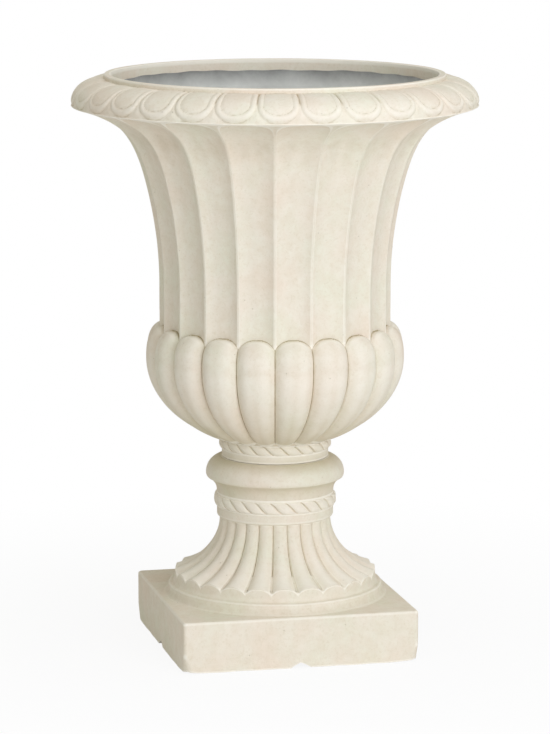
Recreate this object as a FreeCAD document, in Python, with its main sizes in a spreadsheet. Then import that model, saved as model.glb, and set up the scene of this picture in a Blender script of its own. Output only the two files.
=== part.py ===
"""Urn planter: a fluted and gadrooned bowl bolted to a reeded foot on a square plinth.

Millimetres, +Z up, origin on the floor under the middle of the plinth, whose sides
lie along X and Y.  The bowl is one hollow casting, the pedestal another.
"""
import FreeCAD, Part
import math
import os
import Sketcher
from FreeCAD import Vector

doc = FreeCAD.newDocument("UrnPlanter")

# --- driving dimensions ------------------------------------------------------------
SIZES = {
    # plinth
    "plinth_side": 298.0,
    "plinth_height": 64.5,
    "plinth_corner": 6.0,
    "plinth_edge": 3.0,
    "plinth_tuck": 1.5,
    "sole_corner": 16.0,
    "plinth_tuck_height": 22.0,
    "plinth_wall": 10.0,
    "plinth_roof": 14.0,
    "hollow_corner": 50.0,
    "notch_width": 26.0,
    "notch_height": 7.0,
    # round foot
    "ring_radius": 135.0,
    "ring_height": 13.5,
    "ring_spread": 8.0,
    "ring_round": 2.5,
    "drum_radius": 127.0,
    "drum_height": 17.3,
    "drum_cove": 7.0,
    "neck_radius": 70.1,
    "flare_reach": 82.4,
    "flare_height": 67.7,
    "reed_count": 24,
    "reed_top_depth": 2.6,
    "reed_foot_depth": 7.4,
    # mouldings of the neck
    "band_radius": 73.4,
    "band_height": 15.0,
    "band_roll": 3.0,
    "lower_rope_radius": 77.4,
    "lower_rope_height": 14.5,
    "lower_rope_bulge": 3.4,
    "scotia_height": 21.5,
    "scotia_hollow": 4.0,
    "torus_foot_radius": 85.2,
    "torus_radius": 87.2,
    "torus_lower_height": 5.0,
    "torus_upper_height": 21.0,
    "seat_radius": 66.0,
    # joint between pedestal and bowl
    "gasket_thickness": 2.0,
    "gasket_radius": 63.0,
    "spigot_radius": 48.0,
    "spigot_length": 11.0,
    "spigot_clearance": 1.0,
    "deck_thickness": 14.0,
    "shell_wall": 9.0,
    # bottom of the bowl
    "collar_radius": 67.0,
    "collar_height": 9.2,
    "upper_rope_radius": 70.8,
    "upper_rope_height": 11.8,
    "upper_rope_bulge": 3.2,
    "fillet_radius": 69.6,
    "fillet_height": 1.2,
    "lobe_count": 20,
    "lobe_turn": 5.0,
    "lobe_foot_radius": 73.0,
    "belly_radius": 162.5,
    "belly_drop": 116.4,
    "dome_height": 40.0,
    "dome_set": 25.0,
    "dome_fullness": 2.6,
    "lobe_depth": 10.4,
    "lobe_foot_depth": 3.2,
    # fluted wall and rim
    "barrel_radius": 144.7,
    "barrel_height": 90.0,
    "bell_height": 225.0,
    "bell_spread": 50.6,
    "rim_radius": 253.5,
    "flute_depth": 5.5,
    "arris_width": 2.6,
    "flute_head": 46.0,
    "head_fullness": 2.6,
    "head_margin": 6.0,
    "rim_face": 5.0,
    "ovolo_height": 28.0,
    "lip_radius": 212.0,
    "lip_height": 6.0,
    "lip_wall": 8.5,
    "lip_round": 1.5,
    # inside of the bowl
    "well_radius": 50.0,
    "floor_thickness": 14.0,
    "coat_thickness": 1.4,
    "coat_gap": 0.2,
    "coat_margin": 13.0,
    # bolt, washers, nut and drain
    "bolt_diameter": 12.0,
    "bolt_length": 65.0,
    "bolt_hole": 13.5,
    "hex_width": 18.0,
    "head_height": 7.5,
    "nut_height": 10.0,
    "plate_radius": 17.0,
    "plate_thickness": 2.5,
    "seal_thickness": 2.0,
    "washer_clearance": 0.5,
    "thread_clearance": 0.1,
    "drain_offset": 33.0,
    "drain_hole": 18.0,
    "plug_clearance": 0.3,
    "plug_head": 27.0,
    "plug_head_height": 4.0,
    "plug_knob_height": 12.0,
    "plug_knob": 10.0,
    "plug_neck": 5.0,
    "plug_point": 1.5,
}

sheet = doc.addObject("Spreadsheet::Sheet", "Sizes")
for row, (alias, number) in enumerate(SIZES.items(), start=1):
    sheet.set(f"A{row}", alias.replace("_", " "))
    sheet.set(f"B{row}", str(number))
    sheet.setAlias(f"B{row}", alias)
doc.recompute()


def size(alias):
    """One driving dimension, read from the sheet."""
    return float(sheet.get(alias))


def value(expression):
    """A sum of driving dimensions, as the sketches use it, worked out as a number."""
    result = sheet.evalExpression(expression)
    return float(getattr(result, "Value", result))


# Mouldings from the floor up, each resting on the one before it.
PILE = (
    "plinth_height", "ring_height", "drum_height", "flare_height",
    "band_height", "lower_rope_height", "scotia_height", "torus_lower_height",
    "torus_upper_height", "gasket_thickness", "collar_height", "upper_rope_height",
    "fillet_height",
)


def top_of(moulding):
    """The level of a moulding's top edge, as an expression."""
    below = PILE[:PILE.index(moulding) + 1]
    return "(" + " + ".join("Sizes." + name for name in below) + ")"


PEDESTAL_TOP = top_of("torus_upper_height")
BOWL_SEAT = top_of("gasket_thickness")
BELLY = (
    f"({top_of('fillet_height')} + Sizes.belly_drop"
    " * sqrt(1 - (Sizes.lobe_foot_radius / Sizes.belly_radius) ^ 2))"
)
BELL_START = f"({BELLY} + Sizes.barrel_height)"
RIM_EDGE = f"({BELL_START} + Sizes.bell_height)"
OVOLO_FOOT = f"({RIM_EDGE} + Sizes.rim_face)"
LIP_FOOT = f"({OVOLO_FOOT} + Sizes.ovolo_height)"
LIP_TOP = f"({LIP_FOOT} + Sizes.lip_height)"
BOWL_FLOOR = f"({BOWL_SEAT} + Sizes.floor_thickness)"
DECK_TOP = f"({BOWL_SEAT} - Sizes.spigot_length - Sizes.spigot_clearance)"
DECK_UNDERSIDE = f"({DECK_TOP} - Sizes.deck_thickness)"
PLINTH_ROOF = f"({top_of('plinth_height')} - Sizes.plinth_roof)"


# --- sketches ----------------------------------------------------------------------
def origin_plane(body, role):
    """The body's own origin plane with this role."""
    return next(item for item in body.Origin.OriginFeatures if item.Role == role)


def new_sketch(body, name, role="XY_Plane", level="0"):
    """A sketch on one of the body's origin planes, lifted to a level."""
    sketch = body.newObject("Sketcher::SketchObject", name)
    sketch.AttachmentSupport = (origin_plane(body, role), [""])
    sketch.MapMode = "FlatFace"
    if level != "0":
        sketch.setExpression("AttachmentOffset.Base.z", level)
    return sketch


def hold(sketch, kind, places, expression):
    """Dimension a sketch and bind the dimension to the sheet."""
    index = sketch.addConstraint(Sketcher.Constraint(kind, *places, value(expression)))
    sketch.setExpression(f"Constraints[{index}]", expression)


def bowed_edge(start, end, radius, side):
    """Arc from start to end with its centre on the left (1) or right (-1) of the way."""
    chord = end - start
    rise = math.sqrt(max(radius ** 2 - (chord.Length / 2) ** 2, 0.0))
    centre = (start + end) / 2 + Vector(-chord.y, chord.x, 0).normalize() * rise * side
    first, last = (start, end) if side > 0 else (end, start)
    begin = math.atan2(first.y - centre.y, first.x - centre.x)
    finish = math.atan2(last.y - centre.y, last.x - centre.x)
    if finish < begin:
        finish += 2 * math.pi
    return Part.ArcOfCircle(Part.Circle(centre, Vector(0, 0, 1), radius), begin, finish)


def draw_outline(sketch, outline):
    """Closed outline of corners (across, up, bend); bend is None or (radius, side)."""
    points = [Vector(value(across), value(up), 0) for across, up, bend in outline]
    first_edge = len(sketch.Geometry)
    starts = []
    for number, (across, up, bend) in enumerate(outline):
        start, end = points[number], points[(number + 1) % len(points)]
        if bend is None:
            sketch.addGeometry(Part.LineSegment(start, end))
            starts.append(1)
        else:
            sketch.addGeometry(bowed_edge(start, end, value(bend[0]), bend[1]))
            starts.append(1 if bend[1] > 0 else 2)
    for number, (across, up, bend) in enumerate(outline):
        following = (number + 1) % len(outline)
        edge = first_edge + number
        sketch.addConstraint(Sketcher.Constraint(
            "Coincident", edge, 3 - starts[number], first_edge + following, starts[following]))
        if across == "0":
            sketch.addConstraint(Sketcher.Constraint("PointOnObject", edge, starts[number], -2))
        else:
            hold(sketch, "DistanceX", (-1, 1, edge, starts[number]), across)
        if up == "0":
            sketch.addConstraint(Sketcher.Constraint("PointOnObject", edge, starts[number], -1))
        else:
            hold(sketch, "DistanceY", (-1, 1, edge, starts[number]), up)
        if bend is not None:
            hold(sketch, "Radius", (edge,), bend[0])


def draw_circle(sketch, radius):
    """A circle about the sketch's origin."""
    edge = sketch.addGeometry(Part.Circle(Vector(0, 0, 0), Vector(0, 0, 1), value(radius)))
    sketch.addConstraint(Sketcher.Constraint("Coincident", edge, 3, -1, 1))
    hold(sketch, "Radius", (edge,), radius)


def draw_hexagon(sketch, width):
    """A hexagon of this width across its flats."""
    half, point = f"{width} / 2", f"{width} / sqrt(3)"
    draw_outline(sketch, [
        (half, f"-{point} / 2", None), (half, f"{point} / 2", None), ("0", point, None),
        (f"-{half}", f"{point} / 2", None), (f"-{half}", f"-{point} / 2", None),
        ("0", f"-{point}", None)])


def draw_rounded_square(sketch, side, corner):
    """A square about the origin with rounded corners."""
    half = f"({side}) / 2"
    flat = f"(({side}) / 2 - ({corner}))"
    bend = (corner, 1)
    draw_outline(sketch, [
        (half, f"-{flat}", None), (half, flat, bend),
        (flat, half, None), (f"-{flat}", half, bend),
        (f"-{half}", flat, None), (f"-{half}", f"-{flat}", bend),
        (f"-{flat}", f"-{half}", None), (flat, f"-{half}", bend)])


# --- bodies ------------------------------------------------------------------------
def turned_body(label, outline):
    """A body turned about the upright axis from one half-section."""
    body = doc.addObject("PartDesign::Body", label)
    sketch = new_sketch(body, label + "_section", "XZ_Plane")
    draw_outline(sketch, outline)
    turning = body.newObject("PartDesign::Revolution", label + "_turning")
    turning.Profile = sketch
    turning.ReferenceAxis = (sketch, ["V_Axis"])
    turning.Angle = 360
    return body


def padded_body(label, draw, level, height):
    """A body padded up from a level, whose sketch the draw function fills."""
    body = doc.addObject("PartDesign::Body", label)
    sketch = new_sketch(body, label + "_sketch", level=level)
    draw(sketch)
    pad = body.newObject("PartDesign::Pad", label + "_pad")
    pad.Profile = sketch
    pad.setExpression("Length", height)
    return body


def edges_at(shape, level):
    """Names of the edges that lie at one level."""
    return [f"Edge{number}" for number, edge in enumerate(shape.Edges, start=1)
            if all(abs(point.Z - level) < 1e-4 for point in edge.Vertexes)
            and abs(edge.BoundBox.ZLength) < 1e-4]


def rod(label, radius, foot, head, across="0"):
    """An upright round cutter from a foot level to a head level."""
    cylinder = doc.addObject("Part::Cylinder", label)
    cylinder.setExpression("Radius", radius)
    cylinder.setExpression("Height", f"{head} - {foot}")
    cylinder.setExpression("Placement.Base.z", foot)
    if across != "0":
        cylinder.setExpression("Placement.Base.x", across)
    return cylinder


def fused(label, pieces):
    """Several solids as one casting."""
    union = doc.addObject("Part::MultiFuse", label)
    union.Shapes = pieces
    return union


def cut_by(label, base, tools):
    """A casting with its hollows and holes taken out."""
    cutter = tools[0] if len(tools) == 1 else fused(label + "_hollows", tools)
    cut = doc.addObject("Part::Cut", label)
    cut.Base = base
    cut.Tool = cutter
    return cut


def scripted(label, shape):
    """A solid drawn by its own formula from the sheet's sizes."""
    feature = doc.addObject("Part::Feature", label)
    feature.Shape = shape
    return feature


def rise_of(width, height):
    """Radius of an arc that starts upright and turns in by width over height."""
    return f"(({width}) ^ 2 + ({height}) ^ 2) / (2 * ({width}))"


def bulge_of(bulge, height):
    """Radius of an arc that stands out by bulge over a chord of this height."""
    return f"(({bulge}) ^ 2 + ({height} / 2) ^ 2) / (2 * ({bulge}))"


# --- curves ------------------------------------------------------------------------
def polar(radius, degrees, height):
    """A point at this radius, angle and height."""
    angle = math.radians(degrees)
    return Vector(radius * math.cos(angle), radius * math.sin(angle), height)


def smooth_edge(points):
    """One smooth edge through (radius, height) points of a half-section."""
    curve = Part.BSplineCurve()
    curve.interpolate([Vector(radius, 0, height) for radius, height in points])
    return curve.toShape()


def straight_edge(start, end):
    """A straight edge between two (radius, height) points of a half-section."""
    return Part.makeLine(Vector(start[0], 0, start[1]), Vector(end[0], 0, end[1]))


def turned_solid(edges):
    """A half-section of edges, closed and turned about the upright axis."""
    face = Part.Face(Part.Wire(Part.__sortEdges__(edges)))
    return face.revolve(Vector(0, 0, 0), Vector(0, 0, 1), 360)


def bell_radius(height):
    """Outer radius at the arrises: a barrel that opens gently and then flares at the rim."""
    rise = max(height - value(BELL_START), 0.0) / size("bell_height")
    lip_sweep = size("rim_radius") - size("barrel_radius") - size("bell_spread")
    return size("barrel_radius") + size("bell_spread") * rise ** 2 + lip_sweep * rise ** 12


def bell_level(radius):
    """The level at which the bell reaches this radius."""
    low, high = value(BELL_START), value(RIM_EDGE)
    for _ in range(40):
        middle = (low + high) / 2
        if bell_radius(middle) < radius:
            low = middle
        else:
            high = middle
    return low


def flare_point(turn):
    """Radius, height and outward normal of the foot's elliptic flare."""
    reach = size("flare_reach")
    last = math.acos(1 - (size("drum_radius") - size("neck_radius")) / reach)
    drop = size("flare_height") / math.sin(last)
    radius = size("neck_radius") + reach * (1 - math.cos(last * turn))
    height = value(top_of("flare_height")) - drop * math.sin(last * turn)
    normal = Vector(drop * math.cos(last * turn), 0, reach * math.sin(last * turn)).normalize()
    return radius, height, normal


def reed_depth(turn):
    """Depth of the grooves between the reeds, deeper towards the foot."""
    return size("reed_top_depth") + (size("reed_foot_depth") - size("reed_top_depth")) * turn


# --- pedestal ----------------------------------------------------------------------
def plinth_block():
    """Square slab with rounded corners, tucked in towards the floor."""
    body = doc.addObject("PartDesign::Body", "plinth_block")
    tuck_top = "Sizes.plinth_tuck_height"
    upper = new_sketch(body, "plinth_upper", level=tuck_top)
    draw_rounded_square(upper, "Sizes.plinth_side", "Sizes.plinth_corner")
    slab = body.newObject("PartDesign::Pad", "plinth_slab")
    slab.Profile = upper
    slab.setExpression("Length", "Sizes.plinth_height - Sizes.plinth_tuck_height")
    sole = new_sketch(body, "plinth_sole")
    draw_rounded_square(sole, "Sizes.plinth_side - 2 * Sizes.plinth_tuck", "Sizes.sole_corner")
    rim = new_sketch(body, "plinth_tuck_top", level=tuck_top)
    draw_rounded_square(rim, "Sizes.plinth_side", "Sizes.plinth_corner")
    tuck = body.newObject("PartDesign::AdditiveLoft", "plinth_tuck")
    tuck.Profile = sole
    tuck.Sections = [rim]
    tuck.Ruled = True
    doc.recompute()
    edge = body.newObject("PartDesign::Fillet", "plinth_edge")
    edge.Base = (tuck, edges_at(tuck.Shape, value(top_of("plinth_height"))))
    edge.setExpression("Radius", "Sizes.plinth_edge")
    return body


def foot_ring():
    """Round step between the plinth and the drum of the foot."""
    plinth_top, ring_top = top_of("plinth_height"), top_of("ring_height")
    inside = f"({plinth_top} - 2 * Sizes.plinth_edge)"
    return turned_body("foot_ring", [
        ("0", inside, None),
        ("Sizes.ring_radius + Sizes.ring_spread", inside, None),
        ("Sizes.ring_radius + Sizes.ring_spread", plinth_top,
         (rise_of("Sizes.ring_height - Sizes.ring_round", "Sizes.ring_spread"), -1)),
        ("Sizes.ring_radius", f"{ring_top} - Sizes.ring_round", ("Sizes.ring_round", 1)),
        ("Sizes.ring_radius - Sizes.ring_round", ring_top, ("Sizes.drum_cove", -1)),
        ("Sizes.drum_radius", f"{ring_top} + Sizes.drum_cove * 0.8", None),
        ("0", f"{ring_top} + Sizes.drum_cove * 0.8", None),
    ])


def flare_blank():
    """The drum and the flaring foot before its grooves are cut."""
    axis_foot = (0.0, value(top_of("ring_height")))
    drum_foot = (size("drum_radius"), axis_foot[1])
    curve = [flare_point(1 - step / 8)[:2] for step in range(9)]
    axis_top = (0.0, curve[-1][1])
    return turned_solid([
        straight_edge(axis_foot, drum_foot),
        straight_edge(drum_foot, curve[0]),
        smooth_edge(curve),
        straight_edge(curve[-1], axis_top),
        straight_edge(axis_top, axis_foot)])


def groove_section(turn, half_pitch):
    """Section of one groove between two round reeds, across the run of the flare."""
    radius, height, normal = flare_point(turn)
    left, right = polar(radius, -half_pitch, height), polar(radius, half_pitch, height)
    bottom = Vector(radius, 0, height) - normal * reed_depth(max(turn, 0.0))
    inward = bottom - (left + right) / 2
    depth, half_width = inward.Length, (right - left).Length / 2
    inward.normalize()
    across = (right - left).normalize()
    reed_radius = (half_width ** 2 + depth ** 2) / (2 * depth)
    half_turn = math.asin(min(half_width / reed_radius, 1.0)) / 2
    bow = across * reed_radius * math.sin(half_turn)
    drop = inward * reed_radius * (1 - math.cos(half_turn))
    lift = inward * -reed_depth(1.0)
    return Part.Wire([
        Part.Arc(left, left + bow + drop, bottom).toShape(),
        Part.Arc(bottom, right - bow + drop, right).toShape(),
        Part.makeLine(right, right + lift),
        Part.makeLine(right + lift, left + lift),
        Part.makeLine(left + lift, left)])


def reed_grooves():
    """All the grooves between the reeds, from above the flare to past the drum's face."""
    count = int(size("reed_count"))
    crest_left = 0.97
    half_pitch = 180 / count * crest_left
    turns = (-0.05, 0.1, 0.25, 0.4, 0.55, 0.7, 0.85, 1.0, 1.12)
    groove = Part.makeLoft([groove_section(turn, half_pitch) for turn in turns], True, False)
    grooves = []
    for number in range(count):
        copy = groove.copy()
        copy.rotate(Vector(0, 0, 0), Vector(0, 0, 1), number * 360 / count)
        grooves.append(copy)
    return Part.makeCompound(grooves)


def neck_mouldings():
    """Band, lower rope, scotia and torus, up to the seat of the bowl."""
    flare_top, band_top = top_of("flare_height"), top_of("band_height")
    rope_top, scotia_top = top_of("lower_rope_height"), top_of("scotia_height")
    rope_root = "(Sizes.lower_rope_radius - Sizes.lower_rope_bulge)"
    overhang = f"(Sizes.torus_foot_radius - {rope_root})"
    scotia_chord = f"sqrt(Sizes.scotia_height ^ 2 + {overhang} ^ 2)"
    return turned_body("neck_mouldings", [
        ("0", flare_top, None),
        ("Sizes.band_radius - Sizes.band_roll", flare_top, ("Sizes.band_roll", 1)),
        ("Sizes.band_radius", f"{flare_top} + Sizes.band_roll", None),
        ("Sizes.band_radius", band_top, None),
        (rope_root, band_top, (bulge_of("Sizes.lower_rope_bulge", "Sizes.lower_rope_height"), 1)),
        (rope_root, rope_top, (bulge_of("Sizes.scotia_hollow", scotia_chord), -1)),
        ("Sizes.torus_foot_radius", scotia_top,
         (rise_of("Sizes.torus_radius - Sizes.torus_foot_radius", "Sizes.torus_lower_height"), 1)),
        ("Sizes.torus_radius", top_of("torus_lower_height"),
         (rise_of("Sizes.torus_radius - Sizes.seat_radius", "Sizes.torus_upper_height"), 1)),
        ("Sizes.seat_radius", PEDESTAL_TOP, None),
        ("0", PEDESTAL_TOP, None),
    ])


def foot_hollow():
    """The hollow inside the flare and the neck, open to the plinth below."""
    wall = size("shell_wall")
    curve = []
    for step in range(7):
        turn = 0.9 - 0.15 * step
        radius, height, normal = flare_point(turn)
        inner = Vector(radius, 0, height) - normal * (wall + reed_depth(turn))
        curve.append((inner.x, inner.z))
    drum = (size("drum_radius") - wall, value(top_of("ring_height")))
    roof = value(PLINTH_ROOF) - wall
    deck = value(DECK_UNDERSIDE)
    return turned_solid([
        straight_edge((0.0, roof), (drum[0], roof)),
        straight_edge((drum[0], roof), drum),
        straight_edge(drum, curve[0]),
        smooth_edge(curve),
        straight_edge(curve[-1], (curve[-1][0], deck)),
        straight_edge((curve[-1][0], deck), (0.0, deck)),
        straight_edge((0.0, deck), (0.0, roof))])


def drain_notch(label, role):
    """A low notch right through two opposite walls of the plinth at the floor."""
    body = doc.addObject("PartDesign::Body", label)
    sketch = new_sketch(body, label + "_sketch", role)
    half = "Sizes.notch_width / 2"
    top = "Sizes.notch_height"
    draw_outline(sketch, [
        (f"-{half}", "0", None), (half, "0", None),
        ("Sizes.notch_width / 12", top, None), ("-Sizes.notch_width / 12", top, None)])
    pad = body.newObject("PartDesign::Pad", label + "_pad")
    pad.Profile = sketch
    pad.SideType = "Symmetric"
    pad.setExpression("Length", "Sizes.plinth_side * 1.1")
    return body


def pedestal():
    """The lower casting: plinth, ring, reeded foot, neck mouldings and their hollow."""
    blank = scripted("flare_blank", flare_blank())
    reeded = cut_by("reeded_flare", blank, [scripted("reed_grooves", reed_grooves())])
    casting = fused("pedestal_casting", [plinth_block(), foot_ring(), reeded, neck_mouldings()])
    plinth_hollow = padded_body(
        "plinth_hollow",
        lambda sketch: draw_rounded_square(
            sketch, "Sizes.plinth_side - 2 * (Sizes.plinth_tuck + Sizes.plinth_wall)",
            "Sizes.hollow_corner"),
        "0", PLINTH_ROOF)
    return cut_by("pedestal", casting, [
        plinth_hollow,
        scripted("foot_hollow", foot_hollow()),
        drain_notch("notch_front_back", "XZ_Plane"),
        drain_notch("notch_sides", "YZ_Plane"),
        rod("spigot_recess", "Sizes.spigot_radius + Sizes.spigot_clearance",
            DECK_TOP, f"({PEDESTAL_TOP} + Sizes.gasket_thickness)"),
        rod("deck_bolt_hole", "Sizes.bolt_hole / 2", f"({DECK_UNDERSIDE} - Sizes.shell_wall)",
            f"({DECK_TOP} + Sizes.spigot_clearance)"),
        rod("deck_drain_hole", "Sizes.drain_hole / 2 + Sizes.spigot_clearance",
            f"({DECK_UNDERSIDE} - Sizes.shell_wall)", f"({DECK_TOP} + Sizes.spigot_clearance)",
            "Sizes.drain_offset")])


# --- bowl --------------------------------------------------------------------------
def collar():
    """Spigot, plain collar, upper rope and fillet under the gadroons."""
    collar_top, rope_top = top_of("collar_height"), top_of("upper_rope_height")
    spigot_foot = f"({BOWL_SEAT} - Sizes.spigot_length)"
    rope_root = "(Sizes.upper_rope_radius - Sizes.upper_rope_bulge)"
    return turned_body("collar", [
        ("0", spigot_foot, None),
        ("Sizes.spigot_radius", spigot_foot, None),
        ("Sizes.spigot_radius", BOWL_SEAT, None),
        ("Sizes.collar_radius", BOWL_SEAT, None),
        ("Sizes.collar_radius", collar_top, None),
        (rope_root, collar_top, (bulge_of("Sizes.upper_rope_bulge", "Sizes.upper_rope_height"), 1)),
        (rope_root, rope_top, None),
        ("Sizes.fillet_radius", rope_top, None),
        ("Sizes.fillet_radius", top_of("fillet_height"), None),
        ("0", top_of("fillet_height"), None),
    ])


def lobed_section(height, crest, groove):
    """Ring of swelling lobes that meet in sharp grooves."""
    pitch = 360 / int(size("lobe_count"))
    edges = []
    for number in range(int(size("lobe_count"))):
        start = size("lobe_turn") + number * pitch
        edges.append(Part.Arc(
            polar(groove, start, height),
            polar(crest, start + pitch / 2, height),
            polar(groove, start + pitch, height)).toShape())
    return Part.Wire(edges)


def gadroons():
    """Swelling lobes: a quarter ellipse below the belly and a domed end above it."""
    belly, level, drop = size("belly_radius"), value(BELLY), size("belly_drop")
    foot_turn = math.acos(size("lobe_foot_radius") / belly)
    deepening = (size("lobe_depth") - size("lobe_foot_depth")) / (belly - size("lobe_foot_radius"))
    sections = []
    for share in (1.0, 0.85, 0.7, 0.5, 0.25):
        turn = foot_turn * share
        crest = belly * math.cos(turn)
        upright = drop * math.cos(turn) / math.hypot(belly * math.sin(turn), drop * math.cos(turn))
        depth = (size("lobe_depth") - deepening * (belly - crest)) / upright
        sections.append(lobed_section(level - drop * math.sin(turn), crest, crest - depth))
    for turn in (0, 25, 50, 72, 90):
        across, up = math.cos(math.radians(turn)), math.sin(math.radians(turn))
        crest = belly - size("dome_set") * (1 - across ** (2 / size("dome_fullness")))
        height = level + size("dome_height") * up ** (2 / size("dome_fullness"))
        sections.append(lobed_section(height, crest, crest - size("lobe_depth")))
    return Part.makeLoft(sections, True, False)


def fluted_section(height):
    """Ring of hollow flutes between narrow arrises, closing to heads under the rim."""
    pitch = 360 / int(size("lobe_count"))
    radius = bell_radius(height)
    head_start = size("rim_radius") - size("head_margin") - size("flute_head")
    almost_closed = 0.99
    into_head = min(max((radius - head_start) / size("flute_head"), 0.0), almost_closed)
    opening = (1 - into_head ** size("head_fullness")) ** (1 / size("head_fullness"))
    channel = (pitch - math.degrees(size("arris_width") / radius)) * opening
    lean = bell_radius(height) - bell_radius(height - 1)
    depth = size("flute_depth") * opening * math.hypot(1, min(lean, 2.0))
    edges = []
    for number in range(int(size("lobe_count"))):
        middle = size("lobe_turn") + (number + 0.5) * pitch
        left = polar(radius, middle - channel / 2, height)
        right = polar(radius, middle + channel / 2, height)
        following = polar(radius, middle + pitch - channel / 2, height)
        edges.append(Part.Arc(left, polar(radius - depth, middle, height), right).toShape())
        edges.append(Part.Arc(right, polar(radius, middle + pitch / 2, height), following).toShape())
    return Part.Wire(edges)


def fluted_run(low, high, steps, ruled):
    """One upright run of the fluted wall through evenly spaced sections."""
    levels = [low + (high - low) * step / steps for step in range(steps + 1)]
    return Part.makeLoft([fluted_section(level) for level in levels], True, ruled)


def fluted_wall():
    """The barrel, the bell and the flute heads, one run on another."""
    foot = value(BELLY) + size("dome_height") / 2
    barrel_top = value(BELL_START)
    heads = bell_level(size("rim_radius") - size("head_margin") - size("flute_head"))
    barrel = fluted_run(foot, barrel_top, 1, True)
    return barrel.multiFuse([
        fluted_run(barrel_top, heads, 8, False),
        fluted_run(heads, value(RIM_EDGE), 8, False)])


def rim():
    """Ovolo of two arcs that follow a quarter ellipse, and the plain lip."""
    width = "(Sizes.rim_radius - Sizes.lip_radius)"
    corner_across = f"(Sizes.lip_radius + {width} * sqrt(0.5))"
    corner_up = f"({OVOLO_FOOT} + Sizes.ovolo_height * sqrt(0.5))"
    return turned_body("rim", [
        ("0", RIM_EDGE, None),
        ("Sizes.rim_radius", RIM_EDGE, None),
        ("Sizes.rim_radius", OVOLO_FOOT,
         (rise_of(f"Sizes.rim_radius - {corner_across}", f"{corner_up} - {OVOLO_FOOT}"), 1)),
        (corner_across, corner_up,
         (rise_of(f"{LIP_FOOT} - {corner_up}", f"{corner_across} - Sizes.lip_radius"), 1)),
        ("Sizes.lip_radius", LIP_FOOT, None),
        ("Sizes.lip_radius", f"{LIP_TOP} - Sizes.lip_round", ("Sizes.lip_round", 1)),
        ("Sizes.lip_radius - Sizes.lip_round", LIP_TOP, None),
        ("0", LIP_TOP, None),
    ])


def bowl_hollow(inset, floor, top):
    """The inside of the bowl, drawn in by an inset, from a floor level to a top level."""
    wall = size("shell_wall")
    across = size("belly_radius") - size("lobe_depth") - wall - inset
    drop = size("belly_drop") - wall - inset
    level = value(BELLY)
    well = size("well_radius") - inset
    last_turn = math.acos(well / across)
    dish = [(across * math.cos(last_turn * (1 - step / 5)),
             level - drop * math.sin(last_turn * (1 - step / 5))) for step in range(6)]
    mouth = size("lip_radius") - size("lip_wall") - inset
    depth = size("flute_depth") + wall + inset
    barrel_foot = (size("barrel_radius") - depth, level + size("dome_height"))
    barrel_top = (size("barrel_radius") - depth, value(BELL_START) + wall)
    mouth_level = bell_level(mouth + depth) + wall
    bell = []
    for step in range(10):
        height = barrel_top[1] + (mouth_level - barrel_top[1]) * step / 9
        bell.append((bell_radius(height - wall) - depth, height))
    return turned_solid([
        straight_edge((0.0, floor), (well, floor)),
        straight_edge((well, floor), dish[0]),
        smooth_edge(dish),
        straight_edge(dish[-1], barrel_foot),
        straight_edge(barrel_foot, barrel_top),
        smooth_edge(bell),
        straight_edge(bell[-1], (mouth, top)),
        straight_edge((mouth, top), (0.0, top)),
        straight_edge((0.0, top), (0.0, floor))])


def floor_holes(label):
    """Cutters for the bolt hole and the drain hole in the floor of the bowl."""
    foot = f"({BOWL_SEAT} - Sizes.spigot_length - Sizes.spigot_clearance)"
    head = f"({BOWL_FLOOR} + Sizes.floor_thickness)"
    return [rod(label + "_bolt_hole", "Sizes.bolt_hole / 2", foot, head),
            rod(label + "_drain_hole", "Sizes.drain_hole / 2", foot, head, "Sizes.drain_offset")]


def bowl():
    """The upper casting: collar, gadroons, fluted wall, rim and the hollow inside."""
    casting = fused("bowl_casting", [
        collar(), scripted("gadroons", gadroons()), scripted("fluted_wall", fluted_wall()), rim()])
    hollow = bowl_hollow(0.0, value(BOWL_FLOOR), value(LIP_TOP) + size("lip_height"))
    return cut_by("bowl", casting, [scripted("bowl_hollow", hollow), *floor_holes("bowl")])


def bowl_coating():
    """Thin waterproof coat over the inside of the bowl, up to a margin below the lip."""
    floor, top = value(BOWL_FLOOR), value(LIP_TOP) - size("coat_margin")
    outside = bowl_hollow(size("coat_gap"), floor, top)
    inside = bowl_hollow(size("coat_gap") + size("coat_thickness"),
                         floor + size("coat_thickness"), top + size("coat_thickness"))
    return cut_by("bowl_coating", scripted("coat_blank", outside),
                  [scripted("coat_inside", inside), *floor_holes("coat")])


# --- joint, bolt and drain ---------------------------------------------------------
def ring_sketch(outer, inner):
    """A draw function for a flat ring."""
    def draw(sketch):
        draw_circle(sketch, outer)
        draw_circle(sketch, inner)
    return draw


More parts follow.
